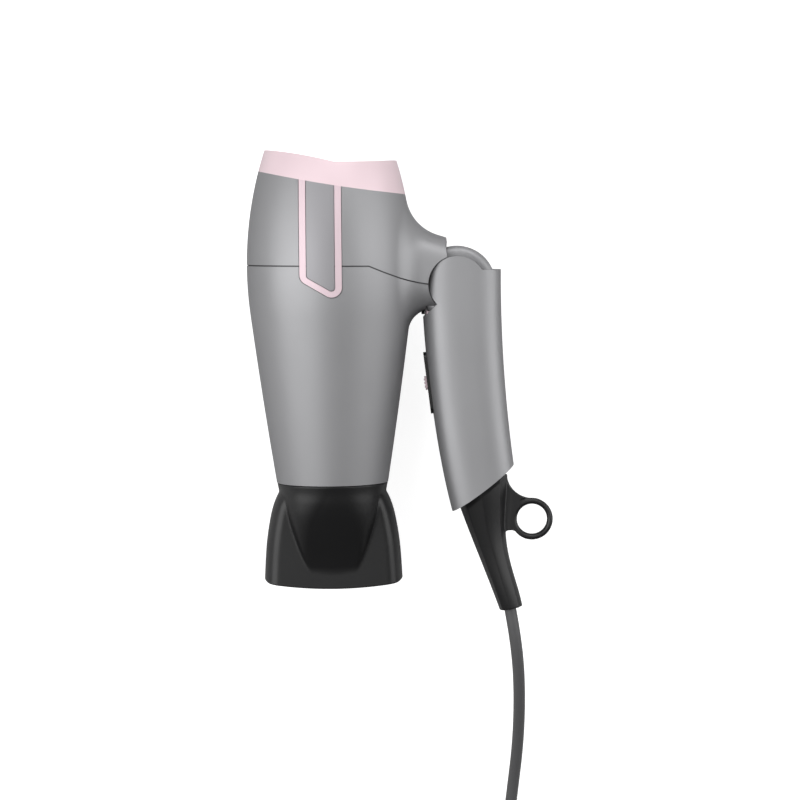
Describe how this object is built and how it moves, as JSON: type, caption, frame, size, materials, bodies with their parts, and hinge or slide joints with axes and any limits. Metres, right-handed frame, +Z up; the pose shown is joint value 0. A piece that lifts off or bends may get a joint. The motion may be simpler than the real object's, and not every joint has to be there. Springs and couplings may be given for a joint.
{
  "type": "folding hair dryer",
  "caption": "Folding hair dryer lying on its side: round tapered barrel, pink inlet ring, flat concentrator nozzle, folded handle, hanging loop, cord with coil and plug.",
  "frame": {"origin": "under the middle of the dryer's footprint without its cord, on the surface it lies on", "axes": "+Y along the barrel towards the air inlet, +X from the barrel towards the handle, +Z up along the fold axis"},
  "size_m": [0.165, 0.4062, 0.0747],
  "materials": {
    "housing_grey": "satin grey lacquer",
    "pink_ring": "gloss pale pink",
    "pink_trim": "gloss pale pink",
    "panel_grey": "satin grey",
    "black_plastic": "matte",
    "inner_black": "moulded",
    "white_plastic": "moulded",
    "steel": "zinc plated",
    "motor_steel": "bright",
    "mica": "mica board",
    "wire": "resistance wire",
    "brass": "nickel on brass",
    "board": "circuit board",
    "cord_grey": "soft matt cord",
    "lead_red": "sleeved leads"
  },
  "bodies": {
    "barrel": {"barrel_lead": "lead_red", "cool_shot_bezel": "black_plastic", "cool_shot_spring": "steel", "cool_shot_switch": "inner_black", "duct_screws": "steel", "fan_duct": "inner_black", "filter_skirt": "inner_black", "front_housing": "housing_grey", "heater_sleeve": "mica", "heater_wire": "wire", "hinge_knuckle": "housing_grey", "inlet_grille": "black_plastic", "knuckle_screws": "steel", "lint_filter": "steel", "mica_cross": "mica", "motor_board": "board", "motor_can": "motor_steel", "outlet_grille": "black_plastic", "rear_housing": "housing_grey", "rear_ring": "pink_ring", "side_panel_back": "panel_grey", "side_panel_front": "panel_grey", "side_trim_back": "pink_trim", "side_trim_front": "pink_trim", "thermal_fuse": "white_plastic", "thermostat": "brass"},
    "fan": {"motor_shaft": "motor_steel", "fan_rotor": "white_plastic"},
    "snap_ring": {"nozzle_snap_ring": "steel"},
    "nozzle": {"concentrator_nozzle": "black_plastic"},
    "button": {"cool_shot_button": "pink_trim"},
    "handle": {"handle_front_shell": "housing_grey", "handle_back_shell": "housing_grey", "handle_screws": "steel", "handle_lead": "lead_red", "hinge_washers": "white_plastic", "switch_bezel": "black_plastic", "switch_base": "black_plastic", "switch_body": "inner_black", "strain_relief": "black_plastic", "cord_clamp": "white_plastic", "clamp_screws": "steel", "inner_cord": "cord_grey", "power_cord": "cord_grey", "cord_coil": "cord_grey", "coil_tie": "black_plastic", "cord_tail": "cord_grey", "plug_body": "cord_grey", "plug_pins": "brass"},
    "slider": {"speed_slider": "pink_trim"}
  },
  "joints": [
    {"name": "handle_fold", "type": "hinge", "parent": "barrel", "child": "handle", "pos_m": [0.02593, 0.04343, 0.03737], "axis": [0, 0, 1], "range_deg": [0, 80]},
    {"name": "fan_spin", "type": "hinge", "parent": "barrel", "child": "fan", "pos_m": [-0.03087, 0.05163, 0.03737], "axis": [0, 1, 0], "continuous": true},
    {"name": "nozzle_turn", "type": "hinge", "parent": "barrel", "child": "snap_ring", "pos_m": [-0.03087, -0.05167, 0.03737], "axis": [0, 1, 0], "continuous": true},
    {"name": "nozzle_pull", "type": "slide", "parent": "snap_ring", "child": "nozzle", "axis": [0, -1, 0], "range_m": [0, 0.03]},
    {"name": "cool_shot_press", "type": "slide", "parent": "barrel", "child": "button", "axis": [0, 1, 0], "range_m": [0, 0.0015], "stiffness_N_per_m": 600, "springref_m": -0.001, "deforming": ["cool_shot_spring"]},
    {"name": "speed_slide", "type": "slide", "parent": "handle", "child": "slider", "axis": [0.1184, -0.993, 0], "range_m": [-0.004, 0.004]}
  ]
}
